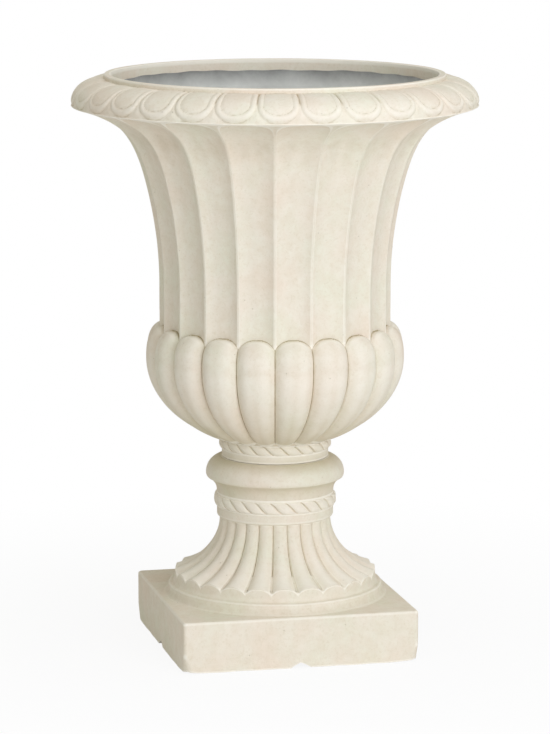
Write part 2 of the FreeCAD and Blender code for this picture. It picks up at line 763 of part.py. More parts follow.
def joint_parts():
    """Gasket in the joint, then the bolt through it with its plates, seal and nut."""
    shank_hole = "Sizes.bolt_diameter / 2 + Sizes.washer_clearance"
    seal_foot = f"({BOWL_FLOOR} + Sizes.coat_thickness)"
    plate_foot = f"({seal_foot} + Sizes.seal_thickness)"
    head_foot = f"({plate_foot} + Sizes.plate_thickness)"
    lower_foot = f"({DECK_UNDERSIDE} - Sizes.plate_thickness)"
    gasket = padded_body(
        "neck_gasket",
        ring_sketch("Sizes.gasket_radius", "Sizes.spigot_radius + Sizes.spigot_clearance"),
        PEDESTAL_TOP, "Sizes.gasket_thickness")
    seal = padded_body("bolt_seal", ring_sketch("Sizes.plate_radius", shank_hole),
                       seal_foot, "Sizes.seal_thickness")
    plate = padded_body("bolt_plate", ring_sketch("Sizes.plate_radius", shank_hole),
                        plate_foot, "Sizes.plate_thickness")
    lower_plate = padded_body("lower_plate", ring_sketch("Sizes.plate_radius", shank_hole),
                              lower_foot, "Sizes.plate_thickness")
    bolt = padded_body("centre_bolt", lambda sketch: draw_hexagon(sketch, "Sizes.hex_width"),
                       head_foot, "Sizes.head_height")
    shank_sketch = new_sketch(bolt, "bolt_shank_sketch", level=head_foot)
    draw_circle(shank_sketch, "Sizes.bolt_diameter / 2")
    shank = bolt.newObject("PartDesign::Pad", "bolt_shank")
    shank.Profile = shank_sketch
    shank.Reversed = True
    shank.setExpression("Length", "Sizes.bolt_length")
    doc.recompute()
    point = bolt.newObject("PartDesign::Chamfer", "bolt_point")
    point.Base = (shank, edges_at(shank.Shape, value(f"{head_foot} - Sizes.bolt_length")))
    point.setExpression("Size", "Sizes.bolt_diameter / 10")

    def draw_nut(sketch):
        draw_hexagon(sketch, "Sizes.hex_width")
        draw_circle(sketch, "Sizes.bolt_diameter / 2 + Sizes.thread_clearance")

    nut = padded_body("lock_nut", draw_nut, f"({lower_foot} - Sizes.nut_height)",
                      "Sizes.nut_height")
    return [gasket, seal, plate, lower_plate, bolt, nut]


def drain_plug():
    """Rubber plug: a stem in the drain hole, a flat head and a knob to pull it by."""
    head_foot = f"({BOWL_FLOOR} + Sizes.coat_thickness)"
    head_top = f"({head_foot} + Sizes.plug_head_height)"
    stem_foot = f"({BOWL_SEAT} - Sizes.spigot_length + Sizes.plug_point)"
    stem = "(Sizes.drain_hole / 2 - Sizes.plug_clearance)"
    knob_top = f"({head_top} + Sizes.plug_knob_height)"
    plug = turned_body("drain_plug", [
        ("0", stem_foot, None),
        (f"{stem} - Sizes.plug_point", stem_foot, None),
        (stem, f"{stem_foot} + Sizes.plug_point", None),
        (stem, head_foot, None),
        ("Sizes.plug_head / 2", head_foot, None),
        ("Sizes.plug_head / 2", head_top, None),
        ("Sizes.plug_neck / 2", head_top, None),
        ("Sizes.plug_neck / 2", f"{knob_top} - Sizes.plug_knob / 2", None),
        ("Sizes.plug_knob / 2", f"{knob_top} - Sizes.plug_knob / 2", ("Sizes.plug_knob / 2", 1)),
        ("0", knob_top, None),
    ])
    plug.setExpression("Placement.Base.x", "Sizes.drain_offset")
    return plug


# --- build, check and write --------------------------------------------------------
doc.recompute()
nodes = [bowl(), bowl_coating(), pedestal(), *joint_parts(), drain_plug()]
doc.recompute()

for item in doc.Objects:
    if "Invalid" in item.State or "Error" in item.State:
        raise RuntimeError(f"{item.Label} did not compute: {item.State}")
for node in nodes:
    if node.Shape.isNull() or not node.Shape.isValid() or not node.Shape.Solids:
        raise RuntimeError(f"{node.Label} has no valid solid")

os.makedirs("parts", exist_ok=True)
for node in nodes:
    node.Shape.exportStep(f"parts/{node.Label}.step")
    box = node.Shape.BoundBox
    print(f"{node.Label}: {len(node.Shape.Solids)} solid, {len(node.Shape.Faces)} faces,"
          f" volume {node.Shape.Volume:.0f} mm3, z {box.ZMin:.1f} to {box.ZMax:.1f}")
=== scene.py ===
# The looks of a tall urn planter: two castings of cast stone, bolted together and antiqued by
# hand. The script follows the urn from the floor up and then inside. Named lengths and the
# points of sections are in millimetres; materials and the studio are in metres.
import math

import bmesh
import bpy
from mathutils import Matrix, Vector


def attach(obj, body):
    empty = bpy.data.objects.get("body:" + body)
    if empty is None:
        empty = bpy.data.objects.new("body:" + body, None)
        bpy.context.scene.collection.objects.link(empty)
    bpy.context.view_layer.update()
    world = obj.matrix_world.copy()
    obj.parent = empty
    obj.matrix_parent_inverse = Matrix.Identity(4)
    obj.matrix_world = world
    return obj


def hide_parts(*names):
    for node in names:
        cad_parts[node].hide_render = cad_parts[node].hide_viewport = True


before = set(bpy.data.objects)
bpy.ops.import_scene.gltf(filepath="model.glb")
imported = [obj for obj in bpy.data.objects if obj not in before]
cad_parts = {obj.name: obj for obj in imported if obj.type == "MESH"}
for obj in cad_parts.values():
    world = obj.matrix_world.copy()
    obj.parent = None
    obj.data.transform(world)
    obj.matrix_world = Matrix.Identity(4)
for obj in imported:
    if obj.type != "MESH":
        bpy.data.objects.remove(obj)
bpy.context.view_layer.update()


# --- plinth ------------------------------------------------------------------------
# Hollow square slab of cast stone, the foot of the lower casting. Its corners lift a little
# off the floor, its lower edge is uneven, and each side has a low drain notch in the middle.
MM = 0.001
PLINTH_HALF, PLINTH_TOP = 148.9, 64.5
PLINTH_CORNER, SOLE_CORNER = 4.5, 12
TOP_EDGE = 3
SOLE_INSET, SOLE_RISE = 0.7, 21
PLINTH_WALL, SIDE_DRAFT = 10.0, 1.4
ROOF_UNDERSIDE = 50.5
HOLLOW_CORNER = 50.0
NOTCH_HALF, NOTCH_HEIGHT, NOTCH_OFFSET = 12.0, 6.5, 1.5
CORNER_LIFT, LIFT_START, LIFT_LENGTH = 2.6, 108, 41
# levels the painted shade on the neck runs between, and its share at levels on the way
NECK_SHADE_ENDS = 180, 400
NECK_SHADE_SHARES = ((186, 0.1), (196, 0.4), (212, 0.6), (214.5, 0.05), (228, 0.05), (240, 0.6),
               (258, 0.45), (266, 0.75), (300, 0.4), (345, 0.14), (385, 0))
SHARP_ANGLE = 50


def linear(code, alpha=1.0):
    """A colour written as an sRGB hex code, in linear light."""
    parts = [int(code[place:place + 2], 16) / 255 for place in (1, 3, 5)]
    return [part / 12.92 if part <= 0.04045 else ((part + 0.055) / 1.055) ** 2.4
            for part in parts] + [alpha]


def add_node(tree, kind, inputs=(), **settings):
    """A new node with its settings; each input takes a value or another node's output."""
    node = tree.nodes.new(kind)
    for name, setting in settings.items():
        setattr(node, name, setting)
    for socket, source in dict(inputs).items():
        if isinstance(source, bpy.types.NodeSocket):
            tree.links.new(source, node.inputs[socket])
        else:
            node.inputs[socket].default_value = source
    return node


def blank_material(name):
    """A new material and its node tree, still empty."""
    material = bpy.data.materials.new(name)
    material.use_nodes = True
    material.node_tree.nodes.clear()
    return material, material.node_tree


def ranged(tree, value, start, end, first=0.0, last=1.0):
    """A value that runs from start to end, turned into one from first to last."""
    return add_node(tree, "ShaderNodeMapRange", {
        "Value": value, "From Min": start, "From Max": end, "To Min": first,
        "To Max": last}).outputs["Result"]


def blended(tree, share, under, over):
    """A share of one colour laid over another."""
    return add_node(tree, "ShaderNodeMix", {"Factor": share, "A": under, "B": over},
                    data_type="RGBA").outputs["Result"]


def reckoned(tree, operation, one, other, **settings):
    """The result of a sum on two numbers."""
    return add_node(tree, "ShaderNodeMath", {0: one, 1: other}, operation=operation,
                    **settings).outputs[0]


def cast_stone(name):
    """Cast stone, acid-washed to a matt ivory, with a tan glaze in its recesses, painted shade in
    its creases and under its overhangs, and painted highlights on its edges.
    """
    material, tree = blank_material(name)
    place = add_node(tree, "ShaderNodeTexCoord").outputs["Object"]
    relief = add_node(tree, "ShaderNodeAttribute", attribute_name="relief").outputs["Fac"]
    # cloudy patches a hand wide, pinkish and greenish over the ivory
    cloud = add_node(tree, "ShaderNodeTexNoise",
                     {"Vector": place, "Scale": 1 / 0.07, "Detail": 3}).outputs["Fac"]
    patches = add_node(tree, "ShaderNodeValToRGB", {"Fac": cloud})
    ramp = patches.color_ramp
    ramp.elements[0].position, ramp.elements[0].color = 0.34, linear("#e8dccb")
    ramp.elements[1].position, ramp.elements[1].color = 0.66, linear("#e5e2cf")
    ramp.elements.new(0.5).color = linear("#e9e2d2")
    # mottling a centimetre wide
    mottle = add_node(tree, "ShaderNodeTexNoise", {
        "Vector": place, "Scale": 1 / 0.012, "Detail": 5, "Roughness": 0.62}).outputs["Fac"]
    colour = blended(tree, ranged(tree, mottle, 0.35, 0.7, last=0.42), patches.outputs["Color"],
                     linear("#dccfb8"))
    # sandy specks a few millimetres wide
    speck = add_node(tree, "ShaderNodeTexNoise", {
        "Vector": place, "Scale": 1 / 0.0035, "Detail": 2, "Roughness": 0.7}).outputs["Fac"]
    colour = blended(tree, ranged(tree, speck, 0.52, 0.72, last=0.28), colour,
                     linear("#d0c3a6"))
    # tan glaze in the recesses, laid on darker as painted shade in creases and grooves, broken up
    # by the mottling
    glaze_and_crease_shade = ranged(tree, relief, 0.00014, 0.0009, last=0.85)
    broken = reckoned(tree, "MULTIPLY", glaze_and_crease_shade, mottle)
    colour = blended(tree, reckoned(tree, "MULTIPLY", broken, 1.9, use_clamp=True), colour,
                     linear("#9f8f66"))
    # painted shade: faces that look down are darkened towards tan
    facing = add_node(tree, "ShaderNodeSeparateXYZ", {
        0: add_node(tree, "ShaderNodeNewGeometry").outputs["Normal"]}).outputs["Z"]
    colour = blended(tree, ranged(tree, facing, -0.15, -0.95, last=0.14), colour,
                     linear("#cdbf98"))
    # painted shade in tan, set by height, under the bowl's belly, the collar and the torus
    high = add_node(tree, "ShaderNodeSeparateXYZ", {0: place}).outputs["Z"]
    low_end, high_end = NECK_SHADE_ENDS
    neck_shade = add_node(tree, "ShaderNodeValToRGB",
                     {"Fac": ranged(tree, high, low_end * MM, high_end * MM)})
    for number, (level, share) in enumerate(NECK_SHADE_SHARES):
        spot = (level - low_end) / (high_end - low_end)
        if number < 2:
            stop = neck_shade.color_ramp.elements[number]
            stop.position = spot
        else:
            stop = neck_shade.color_ramp.elements.new(spot)
        stop.color = (share, share, share, 1)
    colour = blended(tree, reckoned(tree, "MULTIPLY", neck_shade.outputs["Color"], cloud), colour,
                     linear("#b5a67c"))
    # edges rubbed pale, and lightened further as a painted highlight along arrises, crests and
    # ring edges
    colour = blended(tree, ranged(tree, relief, -0.00012, -0.00036, last=0.75), colour,
                     linear("#f5f0e3"))
    # pinholes about a millimetre wide, from air in the mix
    holes = add_node(tree, "ShaderNodeTexVoronoi", {"Vector": place, "Scale": 1 / 0.011}).outputs
    pinhole = ranged(tree, holes["Distance"], 0.035, 0.075, first=1.0, last=0.0)
    chance = add_node(tree, "ShaderNodeSeparateColor", {0: holes["Color"]}).outputs[0]
    pitted = reckoned(tree, "MULTIPLY", pinhole, reckoned(tree, "GREATER_THAN", chance, 0.72))
    colour = blended(tree, reckoned(tree, "MULTIPLY", pitted, 0.35), colour, linear("#8d7d5c"))
    # sandy grain, and soft unevenness from the mould
    grain = add_node(tree, "ShaderNodeTexNoise", {
        "Vector": place, "Scale": 1 / 0.0016, "Detail": 3, "Roughness": 0.6}).outputs["Fac"]
    uneven = add_node(tree, "ShaderNodeBump", {
        "Height": mottle, "Distance": 0.0011, "Strength": 0.45})
    sandy = add_node(tree, "ShaderNodeBump", {
        "Height": grain, "Distance": 0.0003, "Strength": 0.6, "Normal": uneven.outputs["Normal"]})
    holed = add_node(tree, "ShaderNodeBump", {
        "Height": pitted, "Distance": 0.0008, "Strength": 0.8,
        "Normal": sandy.outputs["Normal"]}, invert=True)
    stone = add_node(tree, "ShaderNodeBsdfPrincipled", {
        "Base Color": colour, "Roughness": 0.86, "IOR": 1.5, "Specular IOR Level": 0.3,
        "Normal": holed.outputs["Normal"]})
    add_node(tree, "ShaderNodeOutputMaterial", {"Surface": stone.outputs["BSDF"]})
    return material


STONE = cast_stone("cast stone antiqued ivory, painted shade and highlights")


def wedge(outline, shares):
    """One repeat of a ring: a closed section of (radius, degrees, height), swept along shares."""
    build = bmesh.new()
    loops = []
    for share in shares:
        loop = []
        for radius, degrees, height in outline(share):
            turn = math.radians(degrees)
            loop.append(build.verts.new(
                (radius * math.cos(turn) * MM, radius * math.sin(turn) * MM, height * MM)))
        loops.append(loop)
    for near, far in zip(loops, loops[1:]):
        for step, corner in enumerate(near):
            after = (step + 1) % len(near)
            build.faces.new((corner, far[step], far[after], near[after]))
    mesh = bpy.data.meshes.new("wedge")
    build.to_mesh(mesh)
    build.free()
    return mesh


def ring_tree():
    """Nodes that turn one wedge into a whole ring, hand-finished, and measure its hollows."""
    tree = bpy.data.node_groups.new("ring of wedges", "GeometryNodeTree")
    for label, kind in (("Wedge", "Object"), ("Count", "Int"), ("Weld", "Float"),
                        ("Wobble", "Float"), ("Wobble width", "Float"), ("Reach", "Int"),
                        ("Finish", "Material")):
        tree.interface.new_socket(label, in_out="INPUT", socket_type="NodeSocket" + kind)
    tree.interface.new_socket("Geometry", in_out="OUTPUT", socket_type="NodeSocketGeometry")
    given = add_node(tree, "NodeGroupInput").outputs
    one = add_node(tree, "GeometryNodeObjectInfo", {"Object": given["Wedge"]})
    places = add_node(tree, "GeometryNodePoints", {"Count": given["Count"]})
    number = add_node(tree, "GeometryNodeInputIndex").outputs[0]
    pitch = reckoned(tree, "DIVIDE", 2 * math.pi, given["Count"])
    about = add_node(tree, "ShaderNodeCombineXYZ", {
        "Z": reckoned(tree, "MULTIPLY", number, pitch)})
    copies = add_node(tree, "GeometryNodeInstanceOnPoints", {
        "Points": places.outputs[0], "Instance": one.outputs["Geometry"],
        "Rotation": about.outputs[0]})
    real = add_node(tree, "GeometryNodeRealizeInstances", {"Geometry": copies.outputs[0]})
    welded = add_node(tree, "GeometryNodeMergeByDistance", {
        "Geometry": real.outputs[0], "Distance": given["Weld"]})
    # unevenness of a hand-finished casting
    waves = add_node(tree, "ShaderNodeTexNoise", {
        "Scale": reckoned(tree, "DIVIDE", 1.0, given["Wobble width"]), "Detail": 1.0})
    centred = add_node(tree, "ShaderNodeVectorMath", {
        0: waves.outputs["Color"], 1: (0.5, 0.5, 0.5)}, operation="SUBTRACT")
    shift = add_node(tree, "ShaderNodeVectorMath", {
        0: centred.outputs[0], "Scale": given["Wobble"]}, operation="SCALE")
    uneven = add_node(tree, "GeometryNodeSetPosition", {
        "Geometry": welded.outputs[0], "Offset": shift.outputs[0]})
    # relief: how far the surface lies inside (above 0) or outside its own smoothed shape
    position = add_node(tree, "GeometryNodeInputPosition").outputs[0]
    smoothed = add_node(tree, "GeometryNodeBlurAttribute", {
        "Value": position, "Iterations": given["Reach"]}, data_type="FLOAT_VECTOR")
    away = add_node(tree, "ShaderNodeVectorMath", {0: smoothed.outputs[0], 1: position},
                    operation="SUBTRACT")
    inside = add_node(tree, "ShaderNodeVectorMath", {
        0: away.outputs[0], 1: add_node(tree, "GeometryNodeInputNormal").outputs[0]},
        operation="DOT_PRODUCT")
    measured = add_node(tree, "GeometryNodeStoreNamedAttribute", {
        "Geometry": uneven.outputs[0], "Name": "relief", "Value": inside.outputs["Value"]},
        data_type="FLOAT", domain="POINT")
    dressed = add_node(tree, "GeometryNodeSetMaterial", {
        "Geometry": measured.outputs[0], "Material": given["Finish"]})
    add_node(tree, "NodeGroupOutput", {"Geometry": dressed.outputs[0]})
    return tree


RINGS = ring_tree()


def show(name, mesh, body):
    """Put a finished mesh in the scene as a piece that rides on a body of the frame."""
    piece = bpy.data.objects.new(name, mesh)
    bpy.context.scene.collection.objects.link(piece)
    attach(piece, body)
    return piece


def ring(name, count, outline, shares, wobble=0.5, width=0.045, reach=8):
    """A cast-stone ring of equal wedges, as a plain mesh; reach sets how far the glaze with its
    painted crease shade and the pale edges with their painted highlights spread.
    """
    one = bpy.data.objects.new("one wedge", wedge(outline, shares))
    maker = bpy.data.objects.new("ring maker", bpy.data.meshes.new("ring maker"))
    for item in (one, maker):
        bpy.context.scene.collection.objects.link(item)
    nodes = maker.modifiers.new("ring", "NODES")
    nodes.node_group = RINGS
    settings = {"Wedge": one, "Count": count, "Weld": 0.00002, "Wobble": wobble * MM,
                "Wobble width": width, "Reach": reach, "Finish": STONE}
    for socket in RINGS.interface.items_tree:
        if socket.in_out == "INPUT":
            nodes[socket.identifier] = settings[socket.name]
    graph = bpy.context.evaluated_depsgraph_get()
    mesh = bpy.data.meshes.new_from_object(maker.evaluated_get(graph))
    mesh.name = name
    mesh.shade_smooth()
    mesh.set_sharp_from_angle(angle=math.radians(SHARP_ANGLE))
    for item in (one, maker):
        bpy.data.objects.remove(item)
    return show(name, mesh, "urn")


def quarter_turns(steps, first=0):
    """Angles over a quarter turn in equal steps, from the first one asked for."""
    return [math.radians(90 * step / steps) for step in range(first, steps + 1)]


def square_reach(half, corner, degrees):
    """Distance from the middle to a rounded square's edge, at an angle off the side's middle."""
    turn = math.radians(abs(degrees))
    straight = half - corner
    if half * math.tan(turn) <= straight:
        return half / math.cos(turn)
    along = straight * (math.cos(turn) + math.sin(turn))
    off = straight * (math.cos(turn) - math.sin(turn))
    return along + math.sqrt(corner ** 2 - off ** 2)


def floor_gap(across):
    """Height of the plinth's lower edge over the floor, at a distance along its side."""
    notch = NOTCH_HEIGHT * max(0.0, 1 - abs(across + NOTCH_OFFSET) / NOTCH_HALF) ** 0.8
    lift = CORNER_LIFT * max(0.0, (abs(across) - LIFT_START) / LIFT_LENGTH) ** 2
    waves = 0.35 + 0.35 * math.sin(across * 0.11 + 0.6) * math.cos(across * 0.043)
    return max(notch, lift) + waves


def plinth_section(across):
    """The hollow slab's section at a distance along its side, from the sole round the outside."""
    degrees = math.degrees(math.atan(across / PLINTH_HALF))
    gap = floor_gap(across)
    inner = PLINTH_HALF - SIDE_DRAFT - PLINTH_WALL
    # the worn lower edge, and the side that leans out a little over it
    corners = [(PLINTH_HALF - 1.0, SOLE_CORNER, gap), (PLINTH_HALF - 0.8, SOLE_CORNER, gap + 0.7)]
    corners += [(PLINTH_HALF - SOLE_INSET + SOLE_INSET * rise,
                 SOLE_CORNER - (SOLE_CORNER - PLINTH_CORNER) * rise,
                 gap + 0.8 + (SOLE_RISE - gap) * rise)
                for rise in (0.03, 0.07, 0.12, 0.2, 0.35, 0.6, 0.8, 1.0)]
    corners += [(PLINTH_HALF, PLINTH_CORNER, level) for level in (26, 31, 36, 41, 46, 51, 56, 59)]
    corners += [(PLINTH_HALF - TOP_EDGE + TOP_EDGE * math.cos(turn), PLINTH_CORNER,
                 PLINTH_TOP - TOP_EDGE + TOP_EDGE * math.sin(turn)) for turn in quarter_turns(5)]
    # the top, which turns from a square into a circle under the foot ring
    corners += [(PLINTH_HALF - TOP_EDGE - inward, PLINTH_CORNER, PLINTH_TOP)
                for inward in (1, 2, 3, 5, 7, 9)]
    corners += [(half, half * share, PLINTH_TOP) for half, share in ((135.6, 0.1), (134.3, 0.3),
                (132.8, 0.5), (131, 0.7), (129, 0.85), (126, 1.0), (118, 1.0))]
    # the roof of the hollow and its wall
    corners += [(118, 118, ROOF_UNDERSIDE), (122, 110, ROOF_UNDERSIDE),
                (130, 70, ROOF_UNDERSIDE), (inner, HOLLOW_CORNER, ROOF_UNDERSIDE)]
    corners += [(inner, HOLLOW_CORNER, gap + (ROOF_UNDERSIDE - gap) * rise)
                for rise in (0.75, 0.5, 0.25, 0.0)]
    return [(square_reach(half, corner, degrees), degrees - 90, height)
            for half, corner, height in corners]


# places along a side: 0.75 mm apart at its corners and 2.3 mm apart between them
side_spots = [-PLINTH_HALF + step * 0.75 for step in range(14)]
side_spots += [-138 + step * 2.3 for step in range(121)]
side_spots += [PLINTH_HALF - (13 - step) * 0.75 for step in range(14)]
plinth = ring("plinth", 4, plinth_section, side_spots, wobble=0.0, reach=4)
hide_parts("pedestal")


# --- foot ring and drum --------------------------------------------------------------
# A round step cast in one with the plinth: its foot sweeps out into the slab's top, and a
# small cove leads up from it to the upright drum that carries the flaring foot.
RING_TOP, RING_RADIUS, RING_FOOT = 78.0, 135.0, 143.0
RING_EDGE = 2.5
SWEEP_START, SWEEP_UP = 0.4, 11.4
DRUM_RADIUS = 127.0
DRUM_COVE_OUT, DRUM_COVE_UP = 4, 5.5
PLAIN_REPEATS = 24
PLAIN_PITCH = 15
EVEN = [step / 16 for step in range(17)]


def foot_ring_section(share):
    """Section through the ring, its foot cove and the cove of the drum."""
    outline = [(RING_FOOT - (RING_FOOT - RING_RADIUS) * math.sin(turn),
                PLINTH_TOP - SWEEP_START + SWEEP_UP * (1 - math.cos(turn)))
               for turn in quarter_turns(8)]
    outline += [(RING_RADIUS - RING_EDGE + RING_EDGE * math.cos(turn),
                 RING_TOP - RING_EDGE + RING_EDGE * math.sin(turn))
                for turn in quarter_turns(5, first=1)]
    outline += [(131.6, RING_TOP), (130.8, RING_TOP + 0.1)]
    outline += [(DRUM_RADIUS + DRUM_COVE_OUT - DRUM_COVE_OUT * math.sin(turn),
                 RING_TOP + DRUM_COVE_UP * (1 - math.cos(turn)))
                for turn in quarter_turns(7, first=1)]
    # up behind the foot's face, and back down inside
    outline += [(DRUM_RADIUS - 0.3, 85), (DRUM_RADIUS - 0.5, 87), (DRUM_RADIUS - 0.6, 89.5)]
    outline += [(120, 90), (120, 66), (121, PLINTH_TOP - 1)]
    return [(radius, share * PLAIN_PITCH, height) for radius, height in outline]


ring("foot_ring", PLAIN_REPEATS, foot_ring_section, EVEN, reach=4)


# --- reeded foot -----------------------------------------------------------------------
# The flaring foot of the lower casting: an elliptic sweep dressed with 24 rounded reeds,
# which start small under the band and end in scallops over the face of the drum.
REEDS = 24
FIRST_REED = 7.5
NECK_RADIUS, NECK_TOP = 70.1, 163.0
FLARE_REACH, FLARE_HEIGHT = 82.4, 67.7
REED_DEPTHS = (2.6, 7.4)
NICK_DEPTH, NICK_WIDTH = 0.11, 0.14
FACE_FOOT, FACE_ROWS = 76, 14
LAST_TURN = math.acos(1 - (DRUM_RADIUS - NECK_RADIUS) / FLARE_REACH)
FLARE_DROP = FLARE_HEIGHT / math.sin(LAST_TURN)


def rounded_fall(off_middle, half, depth):
    """How far a rounded rib lies under its crest, with a sharp nick where two ribs meet."""
    bow = (half ** 2 + depth ** 2) / (2 * depth)
    nick = NICK_DEPTH * half * max(0.0, 1 - (half - off_middle) / (NICK_WIDTH * half))
    return bow - math.sqrt(max(bow ** 2 - off_middle ** 2, 0.0)) + nick


def bunched(count, squeeze):
    """Shares from 0 to 1 that lie closer together near both ends."""
    return [step / count - squeeze * math.sin(2 * math.pi * step / count) / (2 * math.pi)
            for step in range(count + 1)]


def reed_section(share):
    """Section of the foot along one line, at this share of a reed's width."""
    outline = []
    rows = 66
    for step in range(rows + 1):
        turn = LAST_TURN * (1 - (1 - step / rows) ** 1.5)
        radius = NECK_RADIUS + FLARE_REACH * (1 - math.cos(turn))
        height = NECK_TOP - FLARE_DROP * math.sin(turn)
        normal = Vector((FLARE_DROP * math.cos(turn), FLARE_REACH * math.sin(turn))).normalized()
        half = math.pi / REEDS * radius
        depth = REED_DEPTHS[0] + (REED_DEPTHS[1] - REED_DEPTHS[0]) * turn / LAST_TURN
        fall = rounded_fall(abs(share - 0.5) * 2 * half, half, depth)
        outline.append((radius - normal.x * fall, height - normal.y * fall))
    outline.reverse()
    outline += [(outline[-1][0], NECK_TOP + rise) for rise in (1.5, 3, 4.5)]
    edge = outline[0][1]
    face = [(DRUM_RADIUS, FACE_FOOT + (edge - 1.4 - FACE_FOOT) * step / FACE_ROWS)
            for step in range(FACE_ROWS + 1)]
    face += [(DRUM_RADIUS - 0.1, edge - 0.8), (DRUM_RADIUS - 0.6, edge - 0.3)]
    back = [(60, NECK_TOP + 5), (60, 150), (70, 122), (90, 98), (115, FACE_FOOT)]
    return [(radius, (share - 0.5) * 360 / REEDS + FIRST_REED, height)
            for radius, height in face + outline + back]


ring("reeded_foot", REEDS, reed_section, bunched(24, 0.65))


# --- neck of the foot ------------------------------------------------------------------
# Plain band, twisted rope, scotia and torus, all cast with the foot. The torus's flat top is
# the seat of the bowl, and the thin dark joint above it is where the two castings meet.
BAND_FOOT, BAND_TOP, BAND_RADIUS = 163.0, 178.0, 73.4
ROPE_TOP = 192.5
TORUS_FOOT, TORUS_FOOT_RADIUS = 214.0, 85.1
TORUS_MIDDLE, TORUS_RADIUS = 219.0, 87.1
TORUS_TOP, SEAT_RADIUS = 240.0, 66.0
SCOTIA_HOLLOW = 4.0
STRAND_DEPTH, STRAND_NICK = 2.2, 1.3


def arc(start, end, bulge, steps):
    """Points of an arc from start to end that stands out by bulge; the first one is left out."""
    start, end = Vector(start), Vector(end)
    chord = end - start
    out = Vector((chord.y, -chord.x)).normalized()
    points = []
    for step in range(1, steps + 1):
        share = step / steps
        points.append(tuple(start + chord * share + out * bulge * 4 * share * (1 - share)))
    return points


def quarter(start, end, upright_first, steps):
    """Points of a quarter ellipse from start to end; the first one is left out."""
    points = []
    for turn in quarter_turns(steps, first=1):
        across, up = (1 - math.cos(turn), math.sin(turn)) if upright_first else (
            math.sin(turn), 1 - math.cos(turn))
        points.append((start[0] + (end[0] - start[0]) * across,
                       start[1] + (end[1] - start[1]) * up))
    return points


def band_section(share):
    """Section through the plain band, with its rolled lower edge."""
    low, high, radius = BAND_FOOT, BAND_TOP, BAND_RADIUS
    outline = [(66, low + 0.6), (69.5, low + 0.2)]
    outline += arc((69.8, low), (radius, low + 3.2), 0.9, 5)
    outline += [(radius, low + 6), (radius, low + 9), (radius, high - 2.5), (radius, high - 0.9)]
    outline += [(radius - 0.8, high - 0.1), (71, high + 0.5), (64, high + 0.5)]
    return [(radius, share * PLAIN_PITCH, height) for radius, height in outline]


def torus_section(share):
    """Section through the scotia and the torus up to the seat."""
    low = ROPE_TOP
    scotia = [(73.8, low - 0.4)]
    scotia += arc(scotia[0], (TORUS_FOOT_RADIUS - 0.3, TORUS_FOOT - 0.4), -SCOTIA_HOLLOW, 16)
    lip = quarter(scotia[-1], (TORUS_RADIUS, TORUS_MIDDLE), False, 6)
    crown = quarter(lip[-1], (SEAT_RADIUS + 1.5, TORUS_TOP - 0.5), True, 18)
    back = [(SEAT_RADIUS - 2, TORUS_TOP), (56, TORUS_TOP), (56, low), (62, low - 1)]
    outline = scotia + lip + crown + back
    return [(radius, share * PLAIN_PITCH, height) for radius, height in outline]


def rope(name, strands, low, high, root, crest, lean, first):
    """A rope moulding: slanting rounded strands wound round a roll."""
    def strand(share):
        outline = []
        for step in range(21):
            up = step / 20
            turn = math.pi * (up - 0.5)
            roll = root + (crest - root) * math.cos(turn) ** 0.8
            edge = abs(2 * share - 1)
            fall = STRAND_DEPTH * edge ** 2.4 + STRAND_NICK * max(0.0, 1 - (1 - edge) * 5)
            shift = first + lean * (0.5 - up) + (share - 0.5) * 360 / strands
            outline.append((roll - fall * (0.45 + 0.55 * math.cos(turn)), shift,
                            low + (high - low) * (0.5 + 0.5 * math.sin(turn))))
        inner = root - 9
        return outline + [(inner, outline[-1][1], high), (inner, outline[0][1], low)]
    ring(name, strands, strand, bunched(20, 0.6), wobble=0.35, width=0.02, reach=6)


ring("foot_band", PLAIN_REPEATS, band_section, EVEN, reach=3)
rope("foot_rope", 24, BAND_TOP, ROPE_TOP, root=74.2, crest=77.3, lean=16.0, first=10.8)
ring("foot_torus", PLAIN_REPEATS, torus_section, EVEN, reach=3)


# --- collar of the bowl -----------------------------------------------------------------
# Foot of the upper casting: a plain collar that stands on the gasket, a finer twisted rope,
# and a thin fillet on which the swelling lobes stand.
def collar_section(share):
    """Section through the plain collar."""
    outline = [(64, 242), (65.2, 240.4), (66.3, 240.25), (66.8, 240.6), (67, 243), (67, 249),
               (66.9, 251), (66.2, 252), (56, 252), (56, 242)]
    return [(radius, share * PLAIN_PITCH, height) for radius, height in outline]


def fillet_section(share):
    """Section through the fillet over the rope, and the neck that fills the lobes' creases."""
    outline = [(56, 262), (68.8, 262.6), (69.5, 263.1), (69.6, 263.9), (69.9, 264.7),
               (70.5, 265.8), (71.3, 267.2), (71.6, 268.4), (66, 269), (56, 269)]
    return [(radius, share * PLAIN_PITCH, height) for radius, height in outline]


collar = ring("bowl_collar", PLAIN_REPEATS, collar_section, EVEN, reach=3)
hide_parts("bowl")
rope("bowl_rope", 22, 251.2, 263.0, root=67.8, crest=70.9, lean=15.0, first=12.98)
ring("bowl_fillet", PLAIN_REPEATS, fillet_section, EVEN, reach=3)


# --- lobes ------------------------------------------------------------------------------
# Twenty swelling lobes round the lower half of the bowl. They taper down to the fillet, and
# end above in domes that stand out from the feet of the flutes.
LOBES = 20
PITCH = 360 / LOBES
FIRST_ARRIS = 5.0
BELLY_RADIUS, BELLY_LEVEL, BELLY_DROP = 162.5, 368.2, 116.4
LOBE_FOOT = 73.0
LOBE_DEPTHS = (10.4, 3.2)
CREASE_DEPTH = 0.7
DOME_SET, DOME_HEIGHT, FULLNESS = 25.0, 40.0, 2.6
DOME_FILLET = 4.6
SKIRT_TOP = 420.0
INNER_BELLY, INNER_BELLY_DROP = 147, 111
BARREL_RADIUS, BARREL_INSIDE = 144.7, 134
FLUTE_DEPTH = 6.3
ARRIS_WIDTH = 2.4


